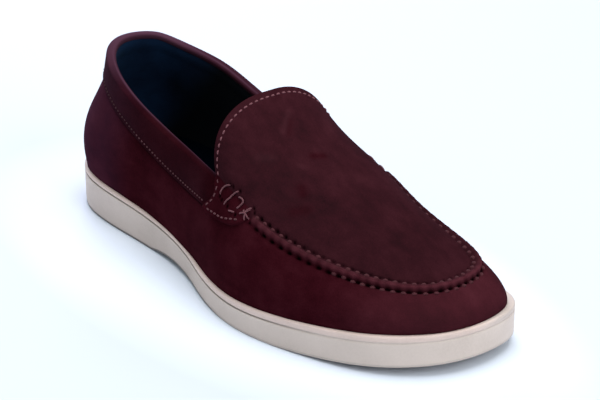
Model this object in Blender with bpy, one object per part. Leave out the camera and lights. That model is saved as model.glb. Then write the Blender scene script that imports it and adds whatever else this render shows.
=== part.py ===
# A right-foot slip-on loafer: suede upper with an apron seam, folded collar band and a rubber unit sole.
# Sizes are in millimetres on the last: X from the back of the heel to the toe, -Y the outer side, Z up.

import bpy
import numpy as np

MM = 0.001
GAP = 0.3
WALL = 1.6
BAND_SKIN = 1.1
BAND_PAD = 1.9
BAND_TURN = 4.0
BAND_END = 0.9
BAND_REST = 3.5
EAR_SKIN = 1.7
RIDGE_HEIGHT = 1.6
RIDGE_HALF = 2.0
RIDGE_START = 33.5
RIDGE_RUN = 8.0
INSOLE_HEIGHT = 3.5
WALL_POWER = 1.8
UPRIGHT_POWER = 1.4
GROOVE_HALF = 0.5
GROOVE_DEPTH = 0.8
ARCH_LIFT = 2.2
ARCH_ENDS = (92.0, 168.0)
ARCH_POWER = 2.2
TOE_SPRING = 6.0
SPRING_START = 220.0
SPRING_POWER = 1.35
COUNTER = 1.05
SOLE_END = 295.0

REAR_STEPS = 24
SIDE_STEPS = 20
TOE_STEPS = 9
CAP_STEPS = 4

# One row per section round the sole: where its edge is, how far the upper's foot and top edge
# stand in from that edge, the height of the top edge (topline or apron seam), the wall's swell
# and how upright its top stands.
SECTION_COLUMNS = ("x", "y", "ledge", "lean", "top", "swell", "upright")
SECTIONS = np.array(
    [
        (0.0, -1.0, 1.4, 17.4, 85.2, 1.4, 1.0),
        (14.0, -28.0, 1.4, 15.8, 84.2, 1.4, 1.0),
        (45.0, -37.7, 1.5, 10.4, 77.0, 1.5, 0.8),
        (85.0, -38.1, 1.2, 4.9, 68.4, 1.2, 0.4),
        (120.0, -40.9, 0.5, 5.5, 62.7, 1.0, 0.1),
        (141.0, -45.9, 0.9, 8.1, 60.6, 1.0, 0.0),
        (153.5, -49.8, 1.3, 10.6, 59.2, 1.2, 0.0),
        (190.0, -56.5, 1.6, 14.0, 51.8, 2.0, 0.0),
        (235.0, -48.7, 1.4, 13.5, 43.5, 2.2, 0.0),
        (270.0, -34.1, 2.2, 15.0, 39.5, 2.2, 0.0),
        (289.0, -14.5, 1.9, 15.5, 38.0, 2.2, 0.0),
        (295.0, 8.0, 1.9, 16.0, 38.0, 1.9, 0.0),
        (289.0, 34.0, 3.2, 17.3, 38.2, 0.7, 0.0),
        (271.0, 47.8, 3.9, 17.2, 40.2, 0.4, 0.0),
        (220.0, 50.2, 2.4, 14.9, 46.5, 1.8, 0.0),
        (185.0, 48.0, 1.8, 10.8, 54.8, 1.8, 0.0),
        (151.0, 41.3, 1.2, 6.9, 58.3, 1.2, 0.0),
        (125.0, 35.4, 1.0, 1.0, 60.6, 1.0, 0.1),
        (95.0, 33.9, 1.2, 0.8, 65.2, 1.0, 0.3),
        (60.0, 35.2, 1.5, 4.4, 74.0, 1.2, 0.6),
        (35.0, 32.3, 1.5, 9.7, 80.0, 1.4, 0.9),
        (14.0, 25.0, 1.4, 14.3, 84.3, 1.4, 1.0),
    ]
)
OUTER_THROAT, OUTER_CORNER, TIP, INNER_CORNER, INNER_THROAT = 6, 9, 11, 13, 16

# Along the shoe: x, the height of the sole's lip and how far the groove lies under it.
LIP = np.array(
    [(0.0, 21.6, 3.4), (80.0, 19.0, 2.1), (150.0, 14.8, 2.7), (220.0, 15.9, 3.5), (295.0, 21.5, 3.1)]
)

# The width of the collar band's outer leg at each x.
BAND = np.array([(0.0, 12.4), (45.0, 12.8), (105.0, 15.4), (153.0, 13.2)])

# The crown of the apron from the tongue's edge to the toe: share of the way, x, z, how far it lies
# off the middle, how much the section is a full arch, and how sharply its inner half falls away.
CROWN = np.array(
    [
        (0.0, 148.0, 95.0, 3.0, 1.0, 1.0),
        (0.25, 180.0, 76.3, 1.8, 0.73, 1.15),
        (0.5, 212.0, 63.4, 1.6, 0.41, 0.91),
        (0.75, 245.0, 51.5, 0.5, 0.2, 0.97),
        (1.0, 279.0, 40.0, 0.0, 0.0, 0.97),
    ]
)
OUTER_FALL = 0.72

# The rear and the lower edge of an ear, which meet at its corner: distance along the sole's edge from
# the throat and depth below the seam.
EAR_REAR = np.array([(0.8, 0.8), (2.4, 2.6), (3.2, 5.4), (1.8, 8.0), (-0.4, 10.8), (-2.2, 13.4)])
EAR_LOW = np.array(
    [(-2.2, 13.4), (0.4, 14.0), (6.0, 13.3), (13.5, 11.8), (20.2, 10.0), (27.8, 7.0), (33.6, 2.6)]
)
EAR_FRONT = (33.6, 0.8)
EAR_STEPS = (18, 7)


def spline(knots, values, at, closed=False):
    # Cubic spline through rows of values. A closed one repeats its first row as its last.
    values = np.asarray(values, float)
    step = np.diff(knots)
    rise = np.diff(values, axis=0) / step[:, None]
    count = len(knots)
    bend = np.zeros((count, count))
    load = np.zeros_like(values)
    for i in range(1, count - 1):
        bend[i, i - 1 : i + 2] = step[i - 1], 2 * (step[i - 1] + step[i]), step[i]
        load[i] = 6 * (rise[i] - rise[i - 1])
    bend[0, 0] = bend[-1, -1] = 1
    if closed:
        bend[0, -1] = -1
        bend[-1, [0, 1, -2, -1]] = 2 * step[0], step[0], step[-1], 2 * step[-1]
        load[-1] = 6 * (rise[0] - rise[-1])
    second = np.linalg.solve(bend, load)
    at = np.asarray(at, float)
    i = np.clip(np.searchsorted(knots, at, side="right") - 1, 0, count - 2)
    h = step[i][..., None]
    a = (knots[i + 1] - at)[..., None] / h
    b = 1 - a
    curve = ((a**3 - a) * second[i] + (b**3 - b) * second[i + 1]) * h**2 / 6
    return a * values[i] + b * values[i + 1] + curve


LOOP = np.vstack([SECTIONS, SECTIONS[:1]])
CHORDS = np.linalg.norm(np.diff(LOOP[:, :2], axis=0), axis=1)
KNOTS = np.concatenate([[0], np.cumsum(CHORDS**0.5)])


def section(s):
    # Every column at a place s on the loop, with the direction that points into the shoe.
    s = np.mod(s, KNOTS[-1])
    row = dict(zip(SECTION_COLUMNS, np.moveaxis(spline(KNOTS, LOOP, s, True), -1, 0)))
    ahead = spline(KNOTS, LOOP[:, :2], np.mod(s + 1e-3, KNOTS[-1]), True)
    back = spline(KNOTS, LOOP[:, :2], np.mod(s - 1e-3, KNOTS[-1]), True)
    run = (ahead - back) / np.linalg.norm(ahead - back, axis=-1, keepdims=True)
    row["inward"] = np.stack([-run[..., 1], run[..., 0]], -1)
    return row


def lip_height(x):
    return spline(LIP[:, 0], LIP[:, 1:], np.clip(x, 0, SOLE_END))[..., 0]


def groove_height(x):
    lip = spline(LIP[:, 0], LIP[:, 1:], np.clip(x, 0, SOLE_END))
    return lip[..., 0] - lip[..., 1]


def band_width(x):
    return spline(BAND[:, 0], BAND[:, 1:], np.clip(x, 0, BAND[-1, 0]))[..., 0]


def base_height(x):
    # Flat under heel and ball. The waist rises quickly ahead of the heel and the toe is sprung.
    waist = np.clip((x - ARCH_ENDS[0]) / (ARCH_ENDS[1] - ARCH_ENDS[0]), 0, 1)
    toe = np.clip((x - SPRING_START) / (SOLE_END - SPRING_START), 0, 1)
    peak = 1 / (1 + ARCH_POWER)
    arch = waist * (1 - waist) ** ARCH_POWER / (peak * (1 - peak) ** ARCH_POWER)
    return ARCH_LIFT * arch + TOE_SPRING * toe**SPRING_POWER


def sole_edge(s, inset):
    row = section(s)
    inset = np.broadcast_to(inset, s.shape)[..., None]
    return np.stack([row["x"], row["y"]], -1) + row["inward"] * inset


def wall(s, v):
    # The upper's outer face: v is 0 at its foot on the lip and 1 at the topline or the apron seam.
    row = section(s)
    leaning = v**WALL_POWER
    turned = v**UPRIGHT_POWER
    upright = turned**2 * (3 - 2 * turned)
    share = leaning + row["upright"] * (upright - leaning)
    inset = row["ledge"] + (row["lean"] - row["ledge"]) * share - row["swell"] * np.sin(np.pi * v)
    inset = inset - COUNTER * row["upright"] * np.sin(2 * np.pi * v)
    flat = np.stack([row["x"], row["y"]], -1) + row["inward"] * inset[..., None]
    foot = lip_height(row["x"]) + GAP
    return np.concatenate([flat, (foot + (row["top"] - foot) * v)[..., None]], -1)


def wall_height(s):
    row = section(s)
    return row["top"] - lip_height(row["x"]) - GAP


def wall_at(s, depth, offset):
    # A point a depth below the top edge, set off the upper's outer face.
    v = 1 - depth / wall_height(s)
    inside = np.clip(v, 0.01, 0.99)
    along = wall(s + 0.01, inside) - wall(s - 0.01, inside)
    up = wall(s, inside + 0.01) - wall(s, inside - 0.01)
    normal = np.cross(along, up)
    normal /= np.linalg.norm(normal, axis=-1, keepdims=True)
    up /= np.linalg.norm(up, axis=-1, keepdims=True)
    over = np.maximum(-depth, 0)[..., None]
    return wall(s, np.minimum(v, 1)) + normal * np.asarray(offset)[..., None] + up * over


def spaced(first, last, shares):
    # Places on the loop between two of its sections, at shares of the distance along the edge.
    fine = np.linspace(KNOTS[first], KNOTS[last], 400)
    edge = spline(KNOTS, LOOP[:, :2], fine, True)
    run = np.concatenate([[0], np.cumsum(np.linalg.norm(np.diff(edge, axis=0), axis=1))])
    return np.interp(np.asarray(shares) * run[-1], run, fine)


def beside(row, way, distances):
    # Places on the loop at distances in front of a section, or behind it where they are negative.
    fine = KNOTS[row] + np.linspace(-6, 9, 600) * way
    edge = spline(KNOTS, LOOP[:, :2], fine, True)
    run = np.concatenate([[0], np.cumsum(np.linalg.norm(np.diff(edge, axis=0), axis=1))])
    run -= np.interp(6 / 15, np.linspace(0, 1, 600), run)
    return np.interp(distances, run, fine)


HEELED = np.linspace(0, 1, REAR_STEPS + 1) ** 1.35
ALONG = np.append(np.linspace(0, 1 - RIDGE_HALF / 140, SIDE_STEPS), 1.0)
ROUND = np.insert(np.linspace(RIDGE_HALF / 50, 1, TOE_STEPS), 0, 0.0)
ACROSS = np.concatenate([ROUND / 2, (1 - ROUND / 2)[-2::-1]])
STATIONS = np.concatenate(
    [
        spaced(0, OUTER_THROAT, HEELED)[:-1],
        spaced(OUTER_THROAT, OUTER_CORNER, ALONG)[:-1],
        spaced(OUTER_CORNER, TIP, ROUND)[:-1],
        spaced(TIP, INNER_CORNER, 1 - ROUND[::-1])[:-1],
        spaced(INNER_CORNER, INNER_THROAT, 1 - ALONG[::-1])[:-1],
        spaced(INNER_THROAT, len(SECTIONS), 1 - HEELED[::-1])[:-1],
    ]
)
COUNT = len(STATIONS)
OUTER_FIRST = REAR_STEPS
TOE_FIRST = REAR_STEPS + SIDE_STEPS
INNER_LAST = TOE_FIRST + 2 * TOE_STEPS


def material(name, colour, roughness):
    made = bpy.data.materials.new(name)
    made.use_nodes = True
    shader = made.node_tree.nodes["Principled BSDF"]
    shader.inputs["Base Color"].default_value = (*colour, 1.0)
    shader.inputs["Roughness"].default_value = roughness
    shader.inputs["Metallic"].default_value = 0.0
    return made


def solid(name, points, faces, look):
    mesh = bpy.data.meshes.new(name)
    mesh.from_pydata(((points - ORIGIN) * MM).tolist(), [], faces)
    mesh.validate()
    mesh.materials.append(look)
    mesh.shade_smooth()
    mesh.set_sharp_from_angle(angle=np.radians(40))
    made = bpy.data.objects.new(name, mesh)
    bpy.context.scene.collection.objects.link(made)
    made.parent = shoe
    return made


def thicken(piece, thickness, side):
    layer = piece.modifiers.new("Solidify", "SOLIDIFY")
    layer.thickness = thickness * MM
    layer.offset = side
    layer.use_even_offset = True
    layer.use_quality_normals = True


def stacked(rings):
    # Points and side faces of closed rings laid one above the other.
    count = len(rings[0])
    faces = []
    for level in range(len(rings) - 1):
        low, high = level * count, (level + 1) * count
        for i in range(count):
            j = (i + 1) % count
            faces.append((low + i, low + j, high + j, high + i))
    return np.concatenate(rings), faces


def cap(ring, first, start, height, raised, upward):
    # Closes a ring from side to side. New points start at index start.
    half = len(ring) // 2
    rows = [[first]]
    points = []
    for i in range(1, half):
        ends = ring[i], ring[-i]
        row = [first + i]
        for c in range(1, CAP_STEPS):
            flat = ends[0] + (ends[1] - ends[0]) * c / CAP_STEPS
            row.append(start + len(points))
            points.append((*flat[:2], height(flat[0]) + raised))
        rows.append([*row, first + len(ring) - i])
    rows.append([first + half])
    faces = []
    for near, far in zip(rows, rows[1:]):
        for c in range(CAP_STEPS):
            if len(near) == 1:
                face = (near[0], far[c], far[c + 1])
            elif len(far) == 1:
                face = (near[c], far[0], near[c + 1])
            else:
                face = (near[c], far[c], far[c + 1], near[c + 1])
            faces.append(face if upward else face[::-1])
    return np.array(points), faces


def slab(name, rows, look):
    # A closed slab. Each row is a ring from the underside to the top: its inset from the sole's edge,
    # the height that it follows and how far it is raised from that.
    rings = []
    for inset, height, raised in rows:
        flat = sole_edge(STATIONS, inset)
        rings.append(np.column_stack([flat, height(flat[:, 0]) + raised]))
    points, faces = stacked(rings)
    count = len(points)
    under, under_faces = cap(rings[0], 0, count, *rows[0][1:], False)
    top, top_faces = cap(rings[-1], count - COUNT, count + len(under), *rows[-1][1:], True)
    return solid(name, np.concatenate([points, under, top]), faces + under_faces + top_faces, look)


def outsole():
    rows = [
        (4.0, base_height, 0.0),
        (1.3, base_height, 0.0),
        (0.5, base_height, 0.5),
        (0.35, base_height, 2.6),
        (0.0, groove_height, -GROOVE_HALF),
        (GROOVE_DEPTH, groove_height, -0.6 * GROOVE_HALF),
        (GROOVE_DEPTH, groove_height, 0.6 * GROOVE_HALF),
        (0.0, groove_height, GROOVE_HALF),
        (0.0, lip_height, -1.1),
        (0.35, lip_height, -0.3),
        (1.1, lip_height, 0.0),
    ]
    return slab("outsole", rows, RUBBER)


def insole():
    inset = section(STATIONS)["ledge"] + WALL + 2 * GAP
    rows = [
        (inset, lip_height, GAP),
        (inset, lip_height, GAP + INSOLE_HEIGHT - 0.8),
        (inset + 0.8, lip_height, GAP + INSOLE_HEIGHT),
    ]
    return slab("insole", rows, LINING)


def apron(top):
    # The vamp between the two sides of the seam, from the tongue's edge to the toe.
    lateral = top[OUTER_FIRST : TOE_FIRST + 1]
    toe = top[TOE_FIRST : INNER_LAST + 1]
    medial = top[INNER_LAST : INNER_LAST + SIDE_STEPS + 1][::-1]
    share = ALONG[:, None, None]
    u = ACROSS[None, :, None]
    rows = spline(CROWN[:, 0], CROWN[:, 1:], ALONG)
    mid = (lateral + medial) / 2
    crest = np.column_stack([rows[:, 0], mid[:, 1] + rows[:, 2], rows[:, 1]])
    full = rows[:, 3][:, None, None]
    power = np.where(u < 0.5, OUTER_FALL, rows[:, 4][:, None, None])
    turn = np.cos(np.pi * u)
    turn = np.sign(turn) * np.abs(turn) ** power
    rise = np.abs(np.sin(np.pi * u)) ** power
    spread = u + full * ((1 - turn) / 2 - u)
    arch = 4 * u * (1 - u) * (1 - full) + rise * full
    swept = arch + full * (1 - (1 - np.minimum(arch, 1)) ** 3 - arch)
    reach = np.concatenate([swept, arch, arch], -1)
    sheet = lateral[:, None] * (1 - spread) + medial[:, None] * spread + (crest - mid)[:, None] * reach
    return sheet + share**4 * (toe[None] - sheet[-1:])


def upper():
    height = wall_height(STATIONS)
    strip = np.minimum(band_width(section(STATIONS)["x"]), 0.6 * height)
    levels = [share * (1 - strip / height) for share in (0.0, 0.14, 0.28, 0.46, 0.7, 1.0)]
    levels += [1 - strip / height / 2, 1 - RIDGE_HALF / height, np.ones(COUNT)]
    rings = [wall(STATIONS, v) for v in levels]
    sheet = apron(rings[-1])

    # The seam stands up as a ridge, from the front end of one ear round the toe to the other.
    row = section(STATIONS)
    throat = np.where(row["y"] < 0, SECTIONS[OUTER_THROAT, 0], SECTIONS[INNER_THROAT, 0])
    raised = np.clip((row["x"] - throat - RIDGE_START) / RIDGE_RUN, 0, 1)
    tilt = np.clip((row["x"] - throat) / 40, 0, 1)
    rise = np.column_stack([-row["inward"] * (0.95 - 0.35 * tilt)[:, None], 0.3 + 0.5 * tilt])
    rings[-1] = rings[-1] + rise * (RIDGE_HEIGHT * raised)[:, None]

    points, faces = stacked(rings)
    edge = (len(rings) - 1) * COUNT
    grid = np.full((SIDE_STEPS + 1, 2 * TOE_STEPS + 1), -1)
    grid[:, 0] = edge + OUTER_FIRST + np.arange(SIDE_STEPS + 1)
    grid[-1] = edge + TOE_FIRST + np.arange(2 * TOE_STEPS + 1)
    grid[:, -1] = edge + INNER_LAST + SIDE_STEPS - np.arange(SIDE_STEPS + 1)
    inner = grid < 0
    grid[inner] = len(points) + np.arange(inner.sum())
    points = np.concatenate([points, sheet[inner]])
    for k in range(SIDE_STEPS):
        for m in range(2 * TOE_STEPS):
            faces.append((grid[k, m], grid[k + 1, m], grid[k + 1, m + 1], grid[k, m + 1]))
    made = solid("upper", points, [tuple(map(int, face)) for face in faces], SUEDE)
    thicken(made, WALL, -1)
    return made


def band_profile(width):
    # Depth and offset round the folded strip: outer leg, rolled top and inner leg.
    out, back = GAP + BAND_SKIN, WALL + GAP + BAND_PAD
    middle = (out - back) / 2
    ring = [(width, GAP), (width, out - 0.4), (width - 0.6, out), (width / 2, out), (0, out)]
    for turn in np.radians((30, 60, 90, 120, 150)):
        ring.append((-out * np.sin(turn), middle + (out - middle) * np.cos(turn)))
    ring += [(0, -back), (BAND_TURN, -back), (BAND_TURN, -WALL - GAP), (0, -WALL - GAP)]
    ring += [(-GAP, -WALL - GAP), (-GAP, GAP), (0, GAP), (width / 2, GAP)]
    return np.array(ring, float).T


def band_end(row, way):
    # The last ring of the band: its outer leg follows the ear's rear edge, its roll stops before it.
    depth, offset = band_profile(BAND[-1, 1])
    short = np.interp(depth, EAR_REAR[:, 1], EAR_REAR[:, 0]) - BAND_END
    short = np.where((offset < GAP) | (depth < 1), -BAND_REST, short)
    return beside(row, way, short), depth, offset


def collar_band():
    places = np.concatenate([STATIONS[2 - REAR_STEPS :], STATIONS[: REAR_STEPS - 1]])
    rings = [band_end(INNER_THROAT, -1)]
    for s, width in zip(places, band_width(section(places)["x"])):
        depth, offset = band_profile(width)
        rings.append((np.full(len(depth), s), depth, offset))
    rings.append(band_end(OUTER_THROAT, 1))
    points, faces = stacked([wall_at(*ring) for ring in rings])
    count = len(rings[0][0])
    last = len(points) - count
    faces = [face[::-1] for face in faces]
    faces += [tuple(range(count)), tuple(range(last, last + count))[::-1]]
    return solid("collar_band", points, faces, SUEDE)


def traced(corners, shares):
    # Points at shares of the way along a smooth line through the corners.
    run = np.concatenate([[0], np.cumsum(np.linalg.norm(np.diff(corners, axis=0), axis=1))])
    return spline(run, corners, shares * run[-1])


def ear(name, start, way):
    # A tab at the rear end of the seam, laid on the upper's outer face between its four edges.
    across, down = (np.linspace(0, 1, steps + 1) for steps in EAR_STEPS)
    rear, low = traced(EAR_REAR, down), traced(EAR_LOW, across)
    high = rear[0] + (np.array(EAR_FRONT) - rear[0]) * across[:, None]
    front = high[-1] + (low[-1] - high[-1]) * down[:, None]
    t, w = across[:, None, None], down[None, :, None]
    patch = (1 - w) * high[:, None] + w * low[:, None] + (1 - t) * rear[None] + t * front[None]
    patch -= (1 - t) * ((1 - w) * high[0] + w * low[0]) + t * ((1 - w) * high[-1] + w * low[-1])
    places = beside(start, way, patch[..., 0])
    points = wall_at(places, patch[..., 1], np.full(places.shape, GAP))
    rows = len(down)
    faces = []
    for i in range(len(across) - 1):
        for j in range(rows - 1):
            a = i * rows + j
            face = (a, a + 1, a + rows + 1, a + rows)
            faces.append(face if way > 0 else face[::-1])
    made = solid(name, points.reshape(-1, 3), faces, SUEDE)
    thicken(made, EAR_SKIN, 1)
    return made


for old in list(bpy.data.objects):
    bpy.data.objects.remove(old)

outline = sole_edge(np.linspace(0, KNOTS[-1], 2000), 0.0)
ORIGIN = np.append((outline.min(axis=0) + outline.max(axis=0)) / 2, 0.0)

SUEDE = material("suede", (0.036, 0.010, 0.013), 0.95)
RUBBER = material("rubber", (0.48, 0.44, 0.40), 0.55)
LINING = material("lining", (0.004, 0.007, 0.014), 0.85)

shoe = bpy.data.objects.new("shoe", None)
bpy.context.scene.collection.objects.link(shoe)
outsole()
insole()
upper()
collar_band()
ear("ear_lateral", OUTER_THROAT, 1)
ear("ear_medial", INNER_THROAT, -1)
bpy.context.view_layer.update()
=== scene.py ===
import math

import bpy
import numpy as np
from mathutils import Matrix, Vector
from mathutils.bvhtree import BVHTree
from mathutils.kdtree import KDTree


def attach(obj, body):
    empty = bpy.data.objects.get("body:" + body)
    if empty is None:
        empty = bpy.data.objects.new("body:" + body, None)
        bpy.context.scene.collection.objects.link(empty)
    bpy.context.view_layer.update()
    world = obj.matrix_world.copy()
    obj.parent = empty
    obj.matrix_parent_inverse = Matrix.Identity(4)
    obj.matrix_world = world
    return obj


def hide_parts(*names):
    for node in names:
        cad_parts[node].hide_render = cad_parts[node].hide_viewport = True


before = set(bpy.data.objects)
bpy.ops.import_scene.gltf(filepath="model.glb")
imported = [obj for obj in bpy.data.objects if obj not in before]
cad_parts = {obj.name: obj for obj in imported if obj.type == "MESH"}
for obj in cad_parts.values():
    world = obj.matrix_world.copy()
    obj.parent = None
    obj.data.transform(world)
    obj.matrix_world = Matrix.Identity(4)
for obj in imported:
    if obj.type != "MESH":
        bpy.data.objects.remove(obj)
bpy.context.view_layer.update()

# The form of the shoe, in millimetres on the last: x from the heel's back, -y the outer side, z up.
form = {
    "columns": ("x", "y", "ledge", "lean", "top", "swell", "upright"),
    "sections": np.array([  # round the sole: heel, outer side, toe, inner side
        (0.0, -1.0, 1.4, 17.4, 85.2, 1.4, 1.0),
        (14.0, -28.0, 1.4, 15.8, 84.2, 1.4, 1.0),
        (45.0, -37.7, 1.5, 10.4, 77.0, 1.5, 0.8),
        (85.0, -38.1, 1.2, 4.9, 68.4, 1.2, 0.4),
        (120.0, -40.9, 0.5, 5.5, 62.7, 1.0, 0.1),
        (141.0, -45.9, 0.9, 8.1, 60.6, 1.0, 0.0),
        (153.5, -49.8, 1.3, 10.6, 59.2, 1.2, 0.0),
        (190.0, -56.5, 1.6, 14.0, 51.8, 2.0, 0.0),
        (235.0, -48.7, 1.4, 13.5, 43.5, 2.2, 0.0),
        (270.0, -34.1, 2.2, 15.0, 39.5, 2.2, 0.0),
        (289.0, -14.5, 1.9, 15.5, 38.0, 2.2, 0.0),
        (295.0, 8.0, 1.9, 16.0, 38.0, 1.9, 0.0),
        (289.0, 34.0, 3.2, 17.3, 38.2, 0.7, 0.0),
        (271.0, 47.8, 3.9, 17.2, 40.2, 0.4, 0.0),
        (220.0, 50.2, 2.4, 14.9, 46.5, 1.8, 0.0),
        (185.0, 48.0, 1.8, 10.8, 54.8, 1.8, 0.0),
        (151.0, 41.3, 1.2, 6.9, 58.3, 1.2, 0.0),
        (125.0, 35.4, 1.0, 1.0, 60.6, 1.0, 0.1),
        (95.0, 33.9, 1.2, 0.8, 65.2, 1.0, 0.3),
        (60.0, 35.2, 1.5, 4.4, 74.0, 1.2, 0.6),
        (35.0, 32.3, 1.5, 9.7, 80.0, 1.4, 0.9),
        (14.0, 25.0, 1.4, 14.3, 84.3, 1.4, 1.0),
    ]),
    "throatOut": 6, "cornerOut": 9, "tip": 11, "cornerIn": 13, "throatIn": 16,  # where the seam turns
    "lip": np.array([  # x, the lip's height, how far the groove lies under it
        (0.0, 21.6, 3.4), (80.0, 19.0, 2.1), (150.0, 14.8, 2.7), (220.0, 15.9, 3.5), (295.0, 21.5, 3.1),
    ]),
    "crown": np.array([  # share of the way, x, z, off the middle, how full the arch is, its inner fall
        (0.0, 148.0, 95.0, 3.0, 1.0, 1.0),
        (0.25, 180.0, 76.3, 1.8, 0.73, 1.15),
        (0.5, 212.0, 63.4, 1.6, 0.41, 0.91),
        (0.75, 245.0, 51.5, 0.5, 0.2, 0.97),
        (1.0, 279.0, 40.0, 0.0, 0.0, 0.97),
    ]),
    "outerFall": 0.72, "crownSweep": 3, "toePull": 4,
    "band": np.array([(0.0, 12.4), (45.0, 12.8), (105.0, 15.4), (153.0, 13.2)]),  # x, the collar band's width
    "wallPower": 1.8, "uprightPower": 1.4, "counter": 1.05, "gap": 0.3, "wall": 1.6,
    "archEnds": (92.0, 168.0), "archLift": 2.2, "archPower": 2.2,
    "springStart": 220.0, "soleEnd": 295.0, "toeSpring": 6.0, "springPower": 1.35,
}
millimetre = 0.001
edgeSteps = 900  # points on a stretch of the sole's edge that is measured
footprintSteps = 2000
besideReach = (6, 9)  # how far placesBeside looks back and ahead, on the scale of the knots
edgeNudge, wallNudge = 1e-3, 0.01  # small steps that give directions


def splineThrough(knots, values, at, closed=False):
    values = np.asarray(values, float)
    step = np.diff(knots)
    rise = np.diff(values, axis=0) / step[:, None]
    count = len(knots)
    bend = np.zeros((count, count))
    load = np.zeros_like(values)
    for i in range(1, count - 1):
        bend[i, i - 1:i + 2] = step[i - 1], 2 * (step[i - 1] + step[i]), step[i]
        load[i] = 6 * (rise[i] - rise[i - 1])
    bend[0, 0] = bend[-1, -1] = 1
    if closed:
        bend[0, -1] = -1
        bend[-1, [0, 1, -2, -1]] = 2 * step[0], step[0], step[-1], 2 * step[-1]
        load[-1] = 6 * (rise[0] - rise[-1])
    second = np.linalg.solve(bend, load)
    at = np.asarray(at, float)
    i = np.clip(np.searchsorted(knots, at, side="right") - 1, 0, count - 2)
    h = step[i][..., None]
    a = (knots[i + 1] - at)[..., None] / h
    b = 1 - a
    bow = (a**3 - a) * second[i] + (b**3 - b) * second[i + 1]
    return a * values[i] + b * values[i + 1] + bow * h**2 / 6


def runAlong(line):
    # the distance from the start of a line to each of its points
    return np.concatenate([[0], np.cumsum(np.linalg.norm(np.diff(line, axis=0), axis=1))])


def columnsAt(at, run, table):
    # the columns of a table, read at distances along it
    return np.stack([np.interp(at, run, column) for column in np.transpose(table)], -1)


def unit(vectors):
    return vectors / np.linalg.norm(vectors, axis=-1, keepdims=True)


def bell(away, half, power=2):
    # 1 in the middle, fading out past the half width
    return np.exp(-np.abs(away / half) ** power)


def traced(corners, shares):
    # points at shares of the way along a smooth line through the corners
    corners = np.asarray(corners, float)
    run = runAlong(corners)
    return splineThrough(run, corners, shares * run[-1])


def climbing(x, start, run):
    # 0 up to the start, and 1 from a run after it
    return np.clip((x - start) / run, 0, 1)


def eased(share):
    share = np.clip(share, 0, 1)
    return share**2 * (3 - 2 * share)


def rising(x, start, run):
    return eased((x - start) / run)


def falling(x, start, run):
    # 0 from the start on, and 1 up to a run before it
    return eased((start - x) / run)


def changing(pair, share):
    # a pair is a value and the change that is shared out
    return pair[0] + pair[1] * share


loop = np.vstack([form["sections"], form["sections"][:1]])
knots = np.concatenate([[0], np.cumsum(np.linalg.norm(np.diff(loop[:, :2], axis=0), axis=1) ** 0.5)])
around = knots[-1]


def edgeAt(s):
    return splineThrough(knots, loop[:, :2], np.mod(s, around), True)


def sectionAt(s):
    s = np.mod(s, around)
    row = dict(zip(form["columns"], np.moveaxis(splineThrough(knots, loop, s, True), -1, 0)))
    run = unit(edgeAt(s + edgeNudge) - edgeAt(s - edgeNudge))
    row["inward"] = np.stack([-run[..., 1], run[..., 0]], -1)
    return row


def tableAt(name, x):
    table = form[name]
    return splineThrough(table[:, 0], table[:, 1:], np.clip(x, 0, table[-1, 0]))


def lipHeight(x):
    return tableAt("lip", x)[..., 0]


def grooveHeight(x):
    lip = tableAt("lip", x)
    return lip[..., 0] - lip[..., 1]


def bandWidth(x):
    return tableAt("band", x)[..., 0]


def baseHeight(x):
    waist = climbing(x, form["archEnds"][0], form["archEnds"][1] - form["archEnds"][0])
    toe = climbing(x, form["springStart"], form["soleEnd"] - form["springStart"])
    power = form["archPower"]
    peak = 1 / (1 + power)
    arch = waist * (1 - waist) ** power / (peak * (1 - peak) ** power)
    return form["archLift"] * arch + form["toeSpring"] * toe ** form["springPower"]


def soleEdge(s, inset):
    row = sectionAt(s)
    return np.stack([row["x"], row["y"]], -1) + row["inward"] * np.broadcast_to(inset, s.shape)[..., None]


def wallPoint(s, v):
    row = sectionAt(s)
    held = np.maximum(v, 0)
    leaning = held ** form["wallPower"]
    turned = held ** form["uprightPower"]
    share = leaning + row["upright"] * (turned**2 * (3 - 2 * turned) - leaning)
    inset = row["ledge"] + (row["lean"] - row["ledge"]) * share - row["swell"] * np.sin(np.pi * held)
    inset = inset - form["counter"] * row["upright"] * np.sin(2 * np.pi * held)
    flat = np.stack([row["x"], row["y"]], -1) + row["inward"] * inset[..., None]
    foot = lipHeight(row["x"]) + form["gap"]
    return np.concatenate([flat, (foot + (row["top"] - foot) * v)[..., None]], -1)


def wallHeight(s):
    row = sectionAt(s)
    return row["top"] - lipHeight(row["x"]) - form["gap"]


def wallOff(s, depth, offset):
    # a point at a depth under the top edge, set off the outer face
    v = 1 - depth / wallHeight(s)
    within = np.clip(v, wallNudge, 1 - wallNudge)
    along = wallPoint(s + wallNudge, within) - wallPoint(s - wallNudge, within)
    up = wallPoint(s, within + wallNudge) - wallPoint(s, within - wallNudge)
    normal = unit(np.cross(along, up))
    over = unit(up) * np.maximum(-depth, 0)[..., None]
    return wallPoint(s, np.minimum(v, 1)) + normal * np.asarray(offset)[..., None] + over


def placesBetween(first, last, shares):
    # places at shares of the way along the edge from one section to another
    fine = np.linspace(knots[first], knots[last], edgeSteps)
    run = runAlong(edgeAt(fine))
    return np.interp(np.asarray(shares) * run[-1], run, fine)


def placesBeside(section, way, distances):
    # places at distances along the edge from a section
    back, ahead = besideReach
    fine = knots[section] + np.linspace(-back, ahead, edgeSteps) * way
    run = runAlong(edgeAt(fine))
    run -= np.interp(back / (back + ahead), np.linspace(0, 1, edgeSteps), run)
    return np.interp(distances, run, fine)


footprint = soleEdge(np.linspace(0, around, footprintSteps), 0.0)
formOrigin = np.append((footprint.min(axis=0) + footprint.max(axis=0)) / 2, 0.0)


def toMillimetres(place):
    return np.array(place) / millimetre + formOrigin


def toMetres(points):
    return (np.asarray(points) - formOrigin) * millimetre


# Modelling helpers. A piece starts as a flat grid, whose points are then laid on the form.
weldReach = 0.00001


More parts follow.
